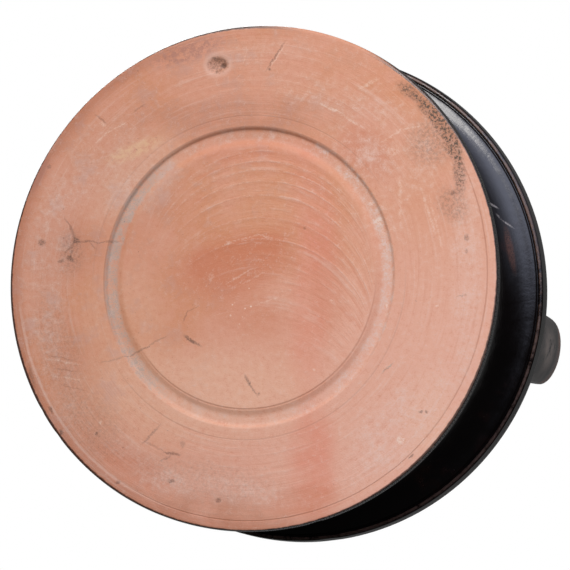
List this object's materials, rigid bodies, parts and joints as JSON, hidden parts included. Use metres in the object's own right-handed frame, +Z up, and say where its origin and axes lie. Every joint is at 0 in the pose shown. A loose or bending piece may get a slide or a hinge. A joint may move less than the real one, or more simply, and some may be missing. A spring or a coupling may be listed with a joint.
{
  "type": "epichysis",
  "caption": "Black-glazed pouring jug with a spool-shaped body, domed shoulder, slim neck, beaked mouth and tall looped strap handle; bare clay underside with a ring channel.",
  "frame": {"origin": "middle of the resting face on the underside", "axes": "+Z up through the neck, +X towards the handle, -X towards the beak"},
  "size_m": [0.1226, 0.1226, 0.1714],
  "materials": {
    "black_gloss": "glossy black fired slip, worn to brown on its edges; the underside is bare orange-pink clay with dusty deposits"
  },
  "bodies": {
    "root": {"epichysis": "black_gloss"}
  },
  "joints": []
}
